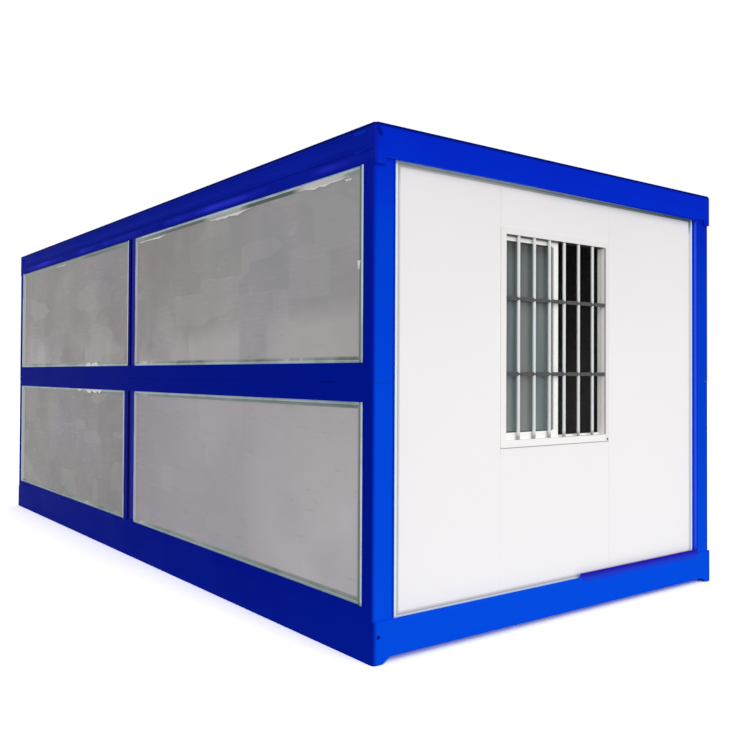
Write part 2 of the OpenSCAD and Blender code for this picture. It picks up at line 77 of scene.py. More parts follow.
def add_node(tree, kind, inputs=None, stops=(), **settings):
    """Adds a node with its settings, its inputs and a ramp's (position, colour) stops."""
    made = tree.nodes.new("ShaderNode" + kind)
    for name, value in settings.items():
        setattr(made, name, value)
    if stops:
        (start, first), *between, (stop, last) = stops
        ramp = made.color_ramp.elements
        ramp[0].position, ramp[-1].position = start, stop
        ramp[0].color, ramp[-1].color = linear(first), linear(last)
        for at, colour in between:
            ramp.new(at).color = linear(colour)
    fill(tree, made, inputs or {})
    return made


def new_finish(name):
    """A material, its node tree and shader, and the place on the object as a vector."""
    finish = bpy.data.materials.new(name)
    finish.use_nodes = True
    tree = finish.node_tree
    place = add_node(tree, "TexCoord").outputs["Object"]
    return finish, tree, tree.nodes["Principled BSDF"], place


def coat(name, finish, edge=0.0):
    """Gives a CAD solid its finish, and breaks its edges by that many metres."""
    solid = nodes[name]
    solid.data.materials[0] = finish
    if edge:
        weld = solid.modifiers.new("weld", "WELD")
        weld.merge_threshold = 0.00005
        bevel = solid.modifiers.new("broken_edges", "BEVEL")
        bevel.width = edge
        bevel.segments = 2
        bevel.limit_method = "ANGLE"
        bevel.angle_limit = math.radians(40)
        bevel.use_clamp_overlap = True


def add_piece(name, shape, finish, body, smooth=False):
    """Makes a piece from a finished bmesh, coats it and sets it on its body."""
    mesh = bpy.data.meshes.new(name)
    shape.to_mesh(mesh)
    shape.free()
    for face in mesh.polygons:
        face.use_smooth = smooth
    mesh.materials.append(finish)
    piece = bpy.data.objects.new(name, mesh)
    bpy.context.scene.collection.objects.link(piece)
    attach(piece, body)


def add_block(shape, low, high, edge=0.0):
    """Adds a block between two corners to a bmesh, with its edges broken."""
    low, high = Vector(low), Vector(high)
    made = bmesh.ops.create_cube(shape, size=1)["verts"]
    for v in made:
        v.co = Vector(low[i] + (v.co[i] + 0.5) * (high[i] - low[i]) for i in range(3))
    if edge:
        sides = {e for v in made for e in v.link_edges}
        bmesh.ops.bevel(shape, geom=list(sides), offset=edge, segments=2,
                        profile=0.5, affect="EDGES", clamp_overlap=True)


def add_turned(shape, centre, axis, profile, sides=20):
    """Adds a turned form: a list of (radius, height along the axis) about a centre."""
    turn = Vector(axis).to_track_quat("Z", "Y").to_matrix()
    rings = []
    for radius, height in profile:
        if radius < 1e-6:
            rings.append([shape.verts.new(Vector(centre) + turn @ Vector((0, 0, height)))])
            continue
        rings.append([shape.verts.new(Vector(centre) + turn @ Vector(
            (radius * math.cos(2 * math.pi * k / sides),
             radius * math.sin(2 * math.pi * k / sides), height))) for k in range(sides)])
    for lower, upper in zip(rings, rings[1:]):
        for k in range(sides):
            j = (k + 1) % sides
            if len(lower) == 1:
                shape.faces.new((lower[0], upper[k], upper[j]))
            elif len(upper) == 1:
                shape.faces.new((lower[k], lower[j], upper[0]))
            else:
                shape.faces.new((lower[k], lower[j], upper[j], upper[k]))


def add_loft(shape, rings, back=True):
    """Adds a solid through rings of points, closed in front and, if asked, at its back."""
    back_ring, front_ring = ([shape.verts.new(point) for point in ring] for ring in rings)
    made = [shape.faces.new((back_ring[k], back_ring[k - 1],
                             front_ring[k - 1], front_ring[k]))
            for k in range(len(back_ring))]
    made.append(shape.faces.new(front_ring))
    if back:
        made.append(shape.faces.new(back_ring))
    bmesh.ops.recalc_face_normals(shape, faces=made)


# Gloss enamel sprayed on steel: saturated blue with a faint orange peel.  The end faces
# carry painted light, royal blue at the ground to a deeper blue at the roof, the long sides
# are the same paint in painted shade, a darker violet blue, and inside the side walls the
# frames carry grey lining paint.
# Pattern scales, here and below, are 1000 over the size of one patch or grain in mm.
# First come the heights and distances from the middle where the colour changes.
fold_height, highlight_height = 1.249, 2.266
post_foot, post_head, post_face, post_return = 0.195, 2.256, 2.938, 1.169
leaf_end, end_zone, middle_zone = 2.882, 2.8, 0.125
enamel, tree, shader, place = new_finish("gloss_enamel_blue")
normal = add_node(tree, "NewGeometry").outputs["Normal"]
spot = add_node(tree, "SeparateXYZ", {"Vector": place}).outputs
facing = add_node(tree, "SeparateXYZ", {"Vector": normal}).outputs
out_x = add_node(tree, "Math", {0: spot["X"]}, operation="ABSOLUTE")
out_y = add_node(tree, "Math", {0: spot["Y"]}, operation="ABSOLUTE")
side_on = add_node(tree, "Math", {0: facing["Y"]}, operation="ABSOLUTE")
clouds = add_node(tree, "TexNoise", {"Vector": place, "Scale": 1000 / 625, "Detail": 3.0})
drift = add_node(tree, "MapRange", {"Value": clouds, "From Min": 0.3, "From Max": 0.7,
    "To Min": -0.05, "To Max": 0.05})
rise = add_node(tree, "MapRange", {"Value": spot["Z"], "From Max": top})
rise = add_node(tree, "Math", {0: rise, 1: drift}, operation="ADD", use_clamp=True)
lit_end_blue = add_node(tree, "ValToRGB", {"Fac": rise}, [(0.0, "#0450e8"), (0.21, "#034de5"),
    (0.5, "#0249e1"), (0.79, "#0240da"), (0.94, "#042cd0"), (1.0, "#0528ca")])
# painted shade on the posts: a deeper blue towards the far side, and along the edge beside
# the wall
above_base = add_node(tree, "Math", {0: spot["Z"], 1: post_foot},
    operation="GREATER_THAN")
on_post = add_node(tree, "Math", {0: spot["Z"], 1: post_head}, operation="LESS_THAN")
on_post = add_node(tree, "Math", {0: above_base, 1: on_post}, operation="MULTIPLY")
proud = add_node(tree, "Math", {0: out_x, 1: post_face}, operation="GREATER_THAN")
on_post = add_node(tree, "Math", {0: on_post, 1: proud}, operation="MULTIPLY")
far_post_shade = add_node(tree, "MapRange", {"Value": spot["Y"], "From Min": 0.9, "From Max": 1.1,
    "To Max": 0.5})
far_post_shade = add_node(tree, "Math", {0: far_post_shade, 1: rise}, operation="MULTIPLY")
edge = add_node(tree, "MapRange", {"Value": out_y, "From Min": 1.184, "From Max": 1.176,
    "To Max": 0.7})
post_shade = add_node(tree, "Math", {0: far_post_shade, 1: edge}, operation="MAXIMUM")
post_shade = add_node(tree, "Math", {0: post_shade, 1: on_post}, operation="MULTIPLY")
lit_end_blue = add_node(tree, "Mix", {0: post_shade, 6: lit_end_blue, 7: "#041fae"}, data_type="RGBA")
# painted shade, a darker blue, where the end faces round the outer corners
corner = add_node(tree, "MapRange", {"Value": out_y, "From Min": half_width - 0.020,
    "From Max": half_width, "To Max": 0.75})
lit_end_blue = add_node(tree, "Mix", {0: corner, 6: lit_end_blue, 7: "#041690"}, data_type="RGBA")
# the flashing that covers the far part of the wall's foot is violet
flashed = add_node(tree, "MapRange", {"Value": spot["Z"], "From Min": 0.155,
    "From Max": 0.212, "To Max": 0.9})
far_part = add_node(tree, "MapRange", {"Value": spot["Y"], "From Min": 0.08,
    "From Max": 0.10})
flashed = add_node(tree, "Math", {0: flashed, 1: far_part}, operation="MULTIPLY")
near_base = add_node(tree, "Math", {0: spot["Z"], 1: 0.217}, operation="LESS_THAN")
flashed = add_node(tree, "Math", {0: flashed, 1: near_base}, operation="MULTIPLY")
off_feet = add_node(tree, "Math", {0: spot["Y"], 1: 1.168}, operation="LESS_THAN")
flashed = add_node(tree, "Math", {0: flashed, 1: off_feet}, operation="MULTIPLY")
lit_end_blue = add_node(tree, "Mix", {0: flashed, 6: lit_end_blue, 7: "#3212a8"}, data_type="RGBA")
shaded_side_blue = add_node(tree, "ValToRGB", {"Fac": rise}, [(0.0, "#0524b6"), (0.12, "#041cae"),
    (0.5, "#011cab"), (0.9, "#0a20b2"), (1.0, "#1028c0")])
# painted shade: the long sides darken away from the window end
far_shade = add_node(tree, "MapRange", {"Value": spot["X"], "From Min": 2.6, "From Max": -1.0,
    "To Max": 0.3})
shaded_side_blue = add_node(tree, "Mix", {0: far_shade, 6: shaded_side_blue, 7: "#060c66"}, data_type="RGBA")
# broken painted highlights run along the head rails of the side walls
highlight_place = add_node(tree, "Mapping", {"Vector": place, "Scale": (1000 / 909, 0, 0)})
head_highlights = add_node(tree, "TexNoise", {"Vector": highlight_place, "Scale": 1, "Detail": 3.0})
head_highlights = add_node(tree, "MapRange", {"Value": head_highlights, "From Min": 0.44, "From Max": 0.64})
highlight_band = add_node(tree, "Math", {0: spot["Z"], 1: highlight_height}, operation="SUBTRACT")
highlight_band = add_node(tree, "Math", {0: highlight_band}, operation="ABSOLUTE")
highlight_band = add_node(tree, "MapRange", {"Value": highlight_band, "From Min": 0.004, "From Max": 0.024,
    "To Min": 0.8, "To Max": 0.0}, interpolation_type="SMOOTHSTEP")
head_highlights = add_node(tree, "Math", {0: head_highlights, 1: highlight_band}, operation="MULTIPLY")
shaded_side_blue = add_node(tree, "Mix", {0: head_highlights, 6: shaded_side_blue, 7: "#3a40ff"},
    data_type="RGBA")
# the middle posts are painted in light and shade, dark navy to dull violet across them,
# with painted shade down their grooves
near_middle = add_node(tree, "Math", {0: out_x, 1: middle_zone}, operation="LESS_THAN")
from_fold = add_node(tree, "Math", {0: spot["Z"], 1: fold_height}, operation="SUBTRACT")
from_fold = add_node(tree, "Math", {0: from_fold}, operation="ABSOLUTE")
off_fold = add_node(tree, "Math", {0: from_fold, 1: 0.09}, operation="GREATER_THAN")
off_roof = add_node(tree, "Math", {0: from_fold, 1: 0.985}, operation="LESS_THAN")
middle = add_node(tree, "Math", {0: near_middle, 1: off_fold}, operation="MULTIPLY")
middle = add_node(tree, "Math", {0: middle, 1: off_roof}, operation="MULTIPLY")
from_middle = add_node(tree, "MapRange", {"Value": spot["X"], "From Min": -0.06,
    "From Max": 0.06})
groove_shade = add_node(tree, "MapRange", {"Value": out_y, "From Min": half_width - 0.002,
    "From Max": half_width - 0.006})
mullion_light_and_shade = add_node(tree, "ValToRGB", {"Fac": from_middle}, [(0.0, "#1c1f9c"),
    (0.25, "#0e1486"), (0.5, "#080e6c"), (0.62, "#2a2aae"), (1.0, "#3434bc")])
mullion_light_and_shade = add_node(tree, "Mix", {0: groove_shade, 6: mullion_light_and_shade, 7: "#080c54"}, data_type="RGBA")
shaded_side_blue = add_node(tree, "Mix", {0: middle, 6: shaded_side_blue, 7: mullion_light_and_shade}, data_type="RGBA")
# the end blue is the paint in painted light and the side blue the same paint in painted
# shade: faces that look along the house count as end faces only at its ends
share = add_node(tree, "MapRange", {"Value": side_on, "From Min": 0.1, "From Max": 0.8})
inner = add_node(tree, "Math", {0: out_x, 1: end_zone}, operation="LESS_THAN")
share = add_node(tree, "Math", {0: share, 1: inner}, operation="MAXIMUM")
blue = add_node(tree, "Mix", {0: share, 6: lit_end_blue, 7: shaded_side_blue}, data_type="RGBA")
# a painted highlight on the post faces' inner returns, and a dark band along the roof's top
# edge
return_highlight = add_node(tree, "Math", {0: out_y, 1: post_return}, operation="LESS_THAN")
return_highlight = add_node(tree, "Math", {0: return_highlight, 1: share}, operation="MULTIPLY")
return_highlight = add_node(tree, "Math", {0: return_highlight, 1: on_post}, operation="MULTIPLY")
blue = add_node(tree, "Mix", {0: return_highlight, 6: blue, 7: "#3a62ff"}, data_type="RGBA")
dark_top_band = add_node(tree, "MapRange", {"Value": spot["Z"], "From Min": top - 0.020,
    "From Max": top - 0.008, "To Max": 0.8})
blue = add_node(tree, "Mix", {0: dark_top_band, 6: blue, 7: "#00085a"}, data_type="RGBA")
# undersides at the ends get a painted light, and the inner faces of the leaves are lined
underside_light = add_node(tree, "Math", {0: facing["Z"], 1: -0.5}, operation="LESS_THAN")
underside_light = add_node(tree, "Math", {0: underside_light, 1: inner}, operation="SUBTRACT",
    use_clamp=True)
blue = add_node(tree, "Mix", {0: underside_light, 6: blue, 7: "#0644f0"}, data_type="RGBA")
inward = add_node(tree, "Math", {0: spot["Y"], 1: facing["Y"]}, operation="MULTIPLY")
inward = add_node(tree, "Math", {0: inward, 1: -1.2}, operation="LESS_THAN")
lined = add_node(tree, "Math", {0: out_x, 1: leaf_end}, operation="LESS_THAN")
inward = add_node(tree, "Math", {0: inward, 1: lined}, operation="MULTIPLY")
blue = add_node(tree, "Mix", {0: inward, 6: blue, 7: "#bdbdb9"}, data_type="RGBA")
peel = add_node(tree, "TexNoise", {"Vector": place, "Scale": 1000 / 3.85})
orange_peel = add_node(tree, "Bump", {"Height": peel, "Strength": 0.05, "Distance": 0.0006})
sheen = add_node(tree, "MapRange", {"Value": clouds, "From Min": 0.3, "From Max": 0.7,
    "To Min": 0.36, "To Max": 0.46})
fill(tree, shader, {"Base Color": blue, "Roughness": sheen, "IOR": 1.5,
    "Specular IOR Level": 0.002, "Normal": orange_peel})

for name in ("base_corner_blocks", "base_side_beams", "base_end_beams"):
    coat(name, enamel)

# Folded flashing over the foot of the window end wall, on its +Y half only.
wall_edge = 1.1665
flashing = bmesh.new()
add_block(flashing, (2.9605, 0.086, 0.186), (2.9635, wall_edge, 0.2105))
add_piece("foot_flashing", flashing, enamel, "house")

# Bright zinc plating on hinges, purlins, screws and door furniture, with the fine grey
# spangle of the plating.
zinc, tree, shader, place = new_finish("zinc_plated_steel")
spangle = add_node(tree, "TexVoronoi", {"Vector": place, "Scale": 1000 / 7.14})
tone = add_node(tree, "Mix", {0: spangle.outputs["Color"], 6: "#8f9296", 7: "#b3b5b8"},
    data_type="RGBA")
fill(tree, shader, {"Base Color": tone, "Metallic": 1.0, "Roughness": 0.42})


def mottled_finish(name, patch, detail, dark, pale, surface):
    """A finish that drifts between two shades over patches of that many millimetres."""
    finish, tree, shader, place = new_finish(name)
    patches = add_node(tree, "TexNoise", {"Vector": place, "Scale": 1000 / patch,
        "Detail": detail})
    tone = add_node(tree, "Mix", {0: patches, 6: dark, 7: pale}, data_type="RGBA")
    fill(tree, shader, {"Base Color": tone, **surface})
    return finish


# Holes and gaps that only show black: a painted shade, soot grey and matt.
shadow = mottled_finish("matt_black_painted_shade", 1.11, 2, "#050507", "#141418",
    {"Roughness": 0.9, "Specular IOR Level": 0.1})

# Dents on the feet and slots in the roof corners, painted over, shown as flat pads that
# stand
# a tenth of a millimetre proud at most: their deep blue is painted shade, a little darker
# in the slots, and each dent has a dark painted shade in its middle.
dent_shade_blue, tree, shader, place = new_finish("enamel_with_painted_dent_shade")
mottle = add_node(tree, "TexNoise", {"Vector": place, "Scale": 1000 / 8.33})
spot = add_node(tree, "SeparateXYZ", {"Vector": place}).outputs
in_slot = add_node(tree, "Math", {0: spot["Z"], 1: fold_height}, operation="GREATER_THAN")
tone = add_node(tree, "Mix", {0: mottle, 6: "#02189a", 7: "#042cc0"}, data_type="RGBA")
slot_shade = add_node(tree, "Mix", {0: mottle, 6: "#021a90", 7: "#021e98"}, data_type="RGBA")
tone = add_node(tree, "Mix", {0: in_slot, 6: tone, 7: slot_shade}, data_type="RGBA")
fill(tree, shader, {"Base Color": tone, "Roughness": 0.5, "Specular IOR Level": 0.002})
dents, dent_middle_shade = bmesh.new(), bmesh.new()
slot_top, slot_foot = (0.017 - half_width, top - 0.030), (0.029 - half_width, top - 0.053)
slot_radius, slot_lean = 0.0115, math.radians(27)
slot_outline = []
for turn in (math.radians(7 + 15 * k) for k in range(24)):
    y, z = slot_top if math.sin(turn - slot_lean) > 0 else slot_foot
    slot_outline.append((y + slot_radius * math.cos(turn),
                         z + slot_radius * math.sin(turn)))
pad_back, pad_front, eye_front = -0.001, 0.00005, 0.0001
for x in (-1, 1):
    foot_dent = (x * half_length, 0.027 - half_width, 0.124)
    for shape, radius, front in ((dents, 0.0105, pad_front),
                                 (dent_middle_shade, 0.0045, eye_front)):
        add_turned(shape, foot_dent, (x, 0, 0),
                   [(radius, pad_back), (radius, front), (0, front)])
    add_loft(dents, [[(x * (half_length + proud), y, z) for y, z in slot_outline]
                     for proud in (pad_back, pad_front)], back=False)
add_piece("dent_shade_pads", dents, dent_shade_blue, "house")
add_piece("dent_middle_shade", dent_middle_shade, shadow, "house")

# ---------------------------------------------------------------------------------------
# Floor: steel joists in dull primer between the side beams, and sealed plywood boards
# screwed on top, laid across the house.
# ---------------------------------------------------------------------------------------

# Dull grey primer brushed on rolled steel, with a little rust where it was thin.
primer, tree, shader, place = new_finish("dull_primer_on_steel")
worn = add_node(tree, "TexNoise", {"Vector": place, "Scale": 1000 / 111, "Detail": 8.0,
    "Roughness": 0.7})
rust = add_node(tree, "MapRange", {"Value": worn, "From Min": 0.6, "From Max": 0.72})
tone = add_node(tree, "Mix", {0: rust, 6: "#33373e", 7: "#5b3a26"}, data_type="RGBA")
rough = add_node(tree, "Bump", {"Height": worn, "Strength": 0.3, "Distance": 0.001})
fill(tree, shader, {"Base Color": tone, "Roughness": 0.7, "Normal": rough})
coat("floor_joists", primer, 0.002)

# Birch plywood sealed with brown phenolic film: long grain across the house and a board
# joint every 1220 mm.
board_pitch, joint_half = 1.22, 0.002
plywood, tree, shader, place = new_finish("sealed_birch_plywood")
along = add_node(tree, "Mapping", {"Vector": place,
    "Scale": (1000 / 26.3, 1000 / 455, 1000 / 26.3)})
grain = add_node(tree, "TexNoise", {"Vector": along, "Scale": 1, "Detail": 6.0,
    "Distortion": 0.6})
tone = add_node(tree, "ValToRGB", {"Fac": grain}, [(0.3, "#5d4630"), (0.7, "#8d6f4c")])
spot = add_node(tree, "SeparateXYZ", {"Vector": place}).outputs
joint = add_node(tree, "Math", {0: spot["X"], 1: board_pitch / 2}, operation="PINGPONG")
gap = add_node(tree, "Math", {0: joint, 1: joint_half}, operation="LESS_THAN")
jointed = add_node(tree, "Mix", {0: gap, 6: tone, 7: "#1c1510"}, data_type="RGBA")
relief = add_node(tree, "Bump", {"Height": grain, "Strength": 0.15, "Distance": 0.001})
fill(tree, shader, {"Base Color": jointed, "Roughness": 0.45, "Normal": relief})
coat("floor_board", plywood)

# ---------------------------------------------------------------------------------------
# Side walls: two leaves a side, each a welded steel frame with two foam filled panels.
# The leaves fold at mid height; the post faces turn in round the corners.
# ---------------------------------------------------------------------------------------

for name in ("left_lower_frame", "left_upper_frame", "right_lower_frame",
             "right_upper_frame", "left_post_faces", "right_post_faces", "fold_hinges"):
    coat(name, enamel)
for name in ("foot_hinges", "head_hinges"):
    coat(name, zinc, 0.001)

# Coil coated panel skin, white polyester on thin steel, weathered, its white greyed by
# painted shade: paler towards the window end and along the foot of the upper leaf, with
# soft clouds, faint square patches and short level scuffs.
run_end = 2.9
shaded_side_skin, tree, shader, place = new_finish("weathered_white_coil_coating_in_painted_shade")
spot = add_node(tree, "SeparateXYZ", {"Vector": place}).outputs
along = add_node(tree, "MapRange", {"Value": spot["X"], "From Min": -run_end,
    "From Max": run_end})
lower = add_node(tree, "ValToRGB", {"Fac": along}, [(0.0, "#878183"), (0.48, "#888386"),
    (0.53, "#aea8ae"), (0.65, "#c3bcc3"), (0.8, "#cfc8cf"), (1.0, "#e2dce2")])
upper = add_node(tree, "ValToRGB", {"Fac": along}, [(0.0, "#968f90"), (0.5, "#948b8a"),
    (0.62, "#979190"), (0.75, "#a1a0a2"), (1.0, "#aeafb4")])
over_fold = add_node(tree, "Math", {0: spot["Z"], 1: fold_height}, operation="GREATER_THAN")
tone = add_node(tree, "Mix", {0: over_fold, 6: lower, 7: upper}, data_type="RGBA")
fade = add_node(tree, "Math", {0: spot["Z"], 1: fold_height}, operation="SUBTRACT")
fade = add_node(tree, "MapRange", {"Value": fade, "From Min": 0.12, "From Max": 0.50,
    "To Min": 0.85, "To Max": 0.0})
fade = add_node(tree, "Math", {0: fade, 1: over_fold}, operation="MULTIPLY")
clouds = add_node(tree, "TexNoise", {"Vector": place, "Scale": 1000 / 588, "Detail": 5.0,
    "Roughness": 0.6})
patchy = add_node(tree, "MapRange", {"Value": clouds, "From Min": 0.38, "From Max": 0.62})
fade = add_node(tree, "Math", {0: fade, 1: patchy}, operation="MULTIPLY")
tone = add_node(tree, "Mix", {0: fade, 6: tone, 7: "#cfc8c8"}, data_type="RGBA")
# pale cleaned stretches stand over the fold, mostly towards the window end
cleaned = add_node(tree, "ValToRGB", {"Fac": along}, [(0.0, "#303030"), (0.082, "#404040"),
    (0.088, "#d0d0d0"), (0.122, "#c0c0c0"), (0.130, "#101010"), (0.316, "#101010"),
    (0.322, "#b0b0b0"), (0.348, "#a0a0a0"), (0.354, "#101010"), (0.40, "#101010"),
    (0.405, "#808080"), (0.47, "#909090"), (0.475, "#000000"), (0.515, "#505050"),
    (0.60, "#303030"), (0.666, "#404040"), (0.668, "#c0c0c0"), (0.783, "#d8d8d8"),
    (0.786, "#202020"), (0.838, "#202020"), (0.841, "#b8b8b8"), (0.93, "#d8d8d8"),
    (1.0, "#b0b0b0")])
cleaned_to = add_node(tree, "MapRange", {"Value": spot["X"], "From Min": 0.9,
    "From Max": run_end, "To Min": 1.47, "To Max": 1.56})
cleaned_to = add_node(tree, "Math", {0: cleaned_to, 1: spot["Z"]}, operation="SUBTRACT")
cleaned_to = add_node(tree, "MapRange", {"Value": cleaned_to, "From Min": -0.10,
    "From Max": 0.02, "To Max": 0.85})
cleaned_to = add_node(tree, "Math", {0: cleaned_to, 1: over_fold}, operation="MULTIPLY")
cleaned = add_node(tree, "Math", {0: cleaned_to, 1: cleaned}, operation="MULTIPLY")
tone = add_node(tree, "Mix", {0: cleaned, 6: tone, 7: "#eee9e6"}, data_type="RGBA")
# and the lower leaf is palest low down beside the window end
paler_low_near_end = add_node(tree, "MapRange", {"Value": spot["X"], "From Min": 1.7, "From Max": 2.5})
low_down = add_node(tree, "MapRange", {"Value": spot["Z"], "From Min": 1.15,
    "From Max": 0.5, "To Max": 0.8})
paler_low_near_end = add_node(tree, "Math", {0: paler_low_near_end, 1: low_down}, operation="MULTIPLY")
tone = add_node(tree, "Mix", {0: paler_low_near_end, 6: tone, 7: "#f2eef0"}, data_type="RGBA")
lift = add_node(tree, "MapRange", {"Value": clouds, "From Min": 0.35, "From Max": 0.65,
    "To Max": 0.34})
tone = add_node(tree, "Mix", {0: lift, 6: tone, 7: "#c9c5c6"}, data_type="RGBA")
tint = add_node(tree, "TexNoise", {"Vector": place, "Scale": 1000 / 1111})
cast = add_node(tree, "ValToRGB", {"Fac": tint}, [(0.36, "#9ba39a"), (0.47, "#a8a09a"),
    (0.56, "#a79fa6"), (0.66, "#9d9fab")])
tone = add_node(tree, "Mix", {0: 0.3, 6: tone, 7: cast}, data_type="RGBA")
block_place = add_node(tree, "Mapping", {"Vector": place,
    "Scale": (1000 / 476, 1, 1000 / 200)})
blocks = add_node(tree, "TexVoronoi", {"Vector": block_place, "Scale": 1},
    distance="CHEBYCHEV")
pale_block = add_node(tree, "SeparateColor", {"Color": blocks.outputs["Color"]})
pale_block = add_node(tree, "MapRange", {"Value": pale_block, "From Min": 0.5,
    "From Max": 1.0, "To Max": 0.24})
tone = add_node(tree, "Mix", {0: pale_block, 6: tone, 7: "#cfcccc"}, data_type="RGBA")
scuff_place = add_node(tree, "Mapping", {"Vector": place,
    "Scale": (1000 / 143, 1000 / 143, 1000 / 16.1)})
scuffs = add_node(tree, "TexNoise", {"Vector": scuff_place, "Scale": 1, "Detail": 3.0})
scuffed = add_node(tree, "MapRange", {"Value": scuffs, "From Min": 0.56, "From Max": 0.74,
    "To Max": 0.35})
scuffed = add_node(tree, "Math", {0: scuffed, 1: patchy}, operation="MULTIPLY")
tone = add_node(tree, "Mix", {0: scuffed, 6: tone, 7: "#d6d2d2"}, data_type="RGBA")
# dull rubbed places and fine dark scratches
rubbed = add_node(tree, "MapRange", {"Value": tint, "From Min": 0.56, "From Max": 0.66,
    "To Max": 0.12})
tone = add_node(tree, "Mix", {0: rubbed, 6: tone, 7: "#857f86"}, data_type="RGBA")
scratched = add_node(tree, "MapRange", {"Value": scuffs, "From Min": 0.40, "From Max": 0.28,
    "To Max": 0.3})
scratched = add_node(tree, "Math", {0: scratched, 1: patchy}, operation="MULTIPLY")
tone = add_node(tree, "Mix", {0: scratched, 6: tone, 7: "#7f7a7c"}, data_type="RGBA")
waves = add_node(tree, "Bump", {"Height": clouds, "Strength": 0.12, "Distance": 0.004})
fill(tree, shader, {"Base Color": tone, "Roughness": 0.5, "Specular IOR Level": 0.3,
    "Normal": waves})
for name in ("left_lower_panels", "left_upper_panels", "right_lower_panels",
             "right_upper_panels"):
    coat(name, shaded_side_skin)

# Folded bead, once painted: its outer lip carries a pale painted highlight, and the slope
# has gone grey green, darkest next to the lip in painted shade, with dark green stretches
# and white ones where film still sticks to the head of the upper leaf.
flat_on = 0.9995
side_bead, tree, shader, place = new_finish("worn_painted_bead_in_painted_light")
normal = add_node(tree, "NewGeometry").outputs["Normal"]
spot = add_node(tree, "SeparateXYZ", {"Vector": place}).outputs
facing = add_node(tree, "SeparateXYZ", {"Vector": normal}).outputs
out_y = add_node(tree, "Math", {0: spot["Y"]}, operation="ABSOLUTE")
depth = add_node(tree, "MapRange", {"Value": out_y, "From Min": 1.277, "From Max": 1.282})
patches = add_node(tree, "TexNoise", {"Vector": place, "Scale": 1000 / 417, "Detail": 5.0,
    "Roughness": 0.65})
slope = add_node(tree, "ValToRGB", {"Fac": patches}, [(0.34, "#4a5f57"), (0.45, "#84918a"),
    (0.60, "#a0a6a3"), (0.66, "#e4e7e4")])
sway = add_node(tree, "MapRange", {"Value": patches, "From Min": 0.3, "From Max": 0.7,
    "To Min": -0.08, "To Max": 0.08})
along = add_node(tree, "Math", {0: spot["X"], 1: sway}, operation="ADD")
along = add_node(tree, "MapRange", {"Value": along, "From Min": -run_end,
    "From Max": run_end})
stretches = add_node(tree, "ValToRGB", {"Fac": along}, [(0.30, "#8e9a94"),
    (0.34, "#4a5b54"), (0.44, "#6d7d75"), (0.50, "#96a099"), (0.515, "#a5aca7"),
    (0.56, "#7b8a82"), (0.60, "#4a5b54"), (0.70, "#4a5c55"), (0.715, "#b9c0bc"),
    (0.785, "#c6ccc8"), (0.80, "#35483f"), (0.885, "#3f5249"), (0.90, "#f2ecec"),
    (0.965, "#e8dfe0"), (0.98, "#9aa8a1")])
head = add_node(tree, "Math", {0: spot["Z"], 1: 2.0}, operation="GREATER_THAN")
slope = add_node(tree, "Mix", {0: head, 6: slope, 7: stretches}, data_type="RGBA")
paler = add_node(tree, "MapRange", {"Value": depth, "From Max": 0.6,
    "To Min": 0.45, "To Max": 0.0})
paler = add_node(tree, "Math", {0: paler, 1: head}, operation="SUBTRACT", use_clamp=True)
slope = add_node(tree, "Mix", {0: paler, 6: slope, 7: "#c4c4c2"}, data_type="RGBA")
level = add_node(tree, "MapRange", {"Value": spot["Z"], "From Max": top})
lower_head = add_node(tree, "ValToRGB", {"Fac": level}, [(0.0, "#808080"),
    (0.12, "#808080"), (0.13, "#000000"), (1.10 / top, "#000000"), (1.11 / top, "#c8c8c8"),
    (0.5, "#c8c8c8"), (0.51, "#000000")])
slope = add_node(tree, "Mix", {0: lower_head, 6: slope, 7: "#5c746d"}, data_type="RGBA")
# slopes that face the door get painted shade, darkest next to the lip, and slopes that face
# the window a paler painted light
towards_door = add_node(tree, "Math", {0: facing["X"], 1: -0.1}, operation="LESS_THAN")
door_slope_shade = add_node(tree, "ValToRGB", {"Fac": depth}, [(0.0, "#bcc0bc"), (0.4, "#a9b0ab"),
    (0.8, "#8b9791"), (1.0, "#64746d")])
slope = add_node(tree, "Mix", {0: towards_door, 6: slope, 7: door_slope_shade}, data_type="RGBA")
towards_window = add_node(tree, "Math", {0: facing["X"], 1: 0.1}, operation="GREATER_THAN")
slope = add_node(tree, "Mix", {0: towards_window, 6: slope, 7: "#c0c1c0"}, data_type="RGBA")
flat = add_node(tree, "Math", {0: facing["Y"]}, operation="ABSOLUTE")
flat = add_node(tree, "Math", {0: flat, 1: flat_on}, operation="GREATER_THAN")
lip_highlight = add_node(tree, "ValToRGB", {"Fac": patches}, [(0.38, "#b9cdd0"), (0.5, "#dcf4f6"),
    (0.62, "#e6fbff")])
# the painted highlight is duller on the level lips of the lower leaves, most of all along
# the foot
foot_edge, head_edge = 0.2585 / top, 1.1467 / top
dull_highlight = add_node(tree, "ValToRGB", {"Fac": level}, [(0.0, "#d8d8d8"), (foot_edge, "#d8d8d8"),
    (foot_edge + 0.001, "#000000"), (head_edge, "#000000"), (head_edge + 0.001, "#b0b0b0"),
    (0.5, "#b0b0b0"), (0.501, "#000000"), (1.330 / top, "#000000"),
    (1.335 / top, "#a8a8a8"), (1.352 / top, "#a8a8a8"), (1.358 / top, "#000000")])
lip_highlight = add_node(tree, "Mix", {0: dull_highlight, 6: lip_highlight, 7: "#7f958c"}, data_type="RGBA")
# the lip's painted highlight is weaker along the head towards the door end
far_head = add_node(tree, "MapRange", {"Value": spot["X"], "From Min": -0.06,
    "From Max": -0.09, "To Max": 0.8})
far_head = add_node(tree, "Math", {0: far_head, 1: head}, operation="MULTIPLY")
lip_highlight = add_node(tree, "Mix", {0: far_head, 6: lip_highlight, 7: "#6c8078"}, data_type="RGBA")
tone = add_node(tree, "Mix", {0: flat, 6: slope, 7: lip_highlight}, data_type="RGBA")
fill(tree, shader, {"Base Color": tone, "Roughness": 0.4, "Specular IOR Level": 0.3})
for name in ("left_beads", "right_beads"):
    coat(name, side_bead)

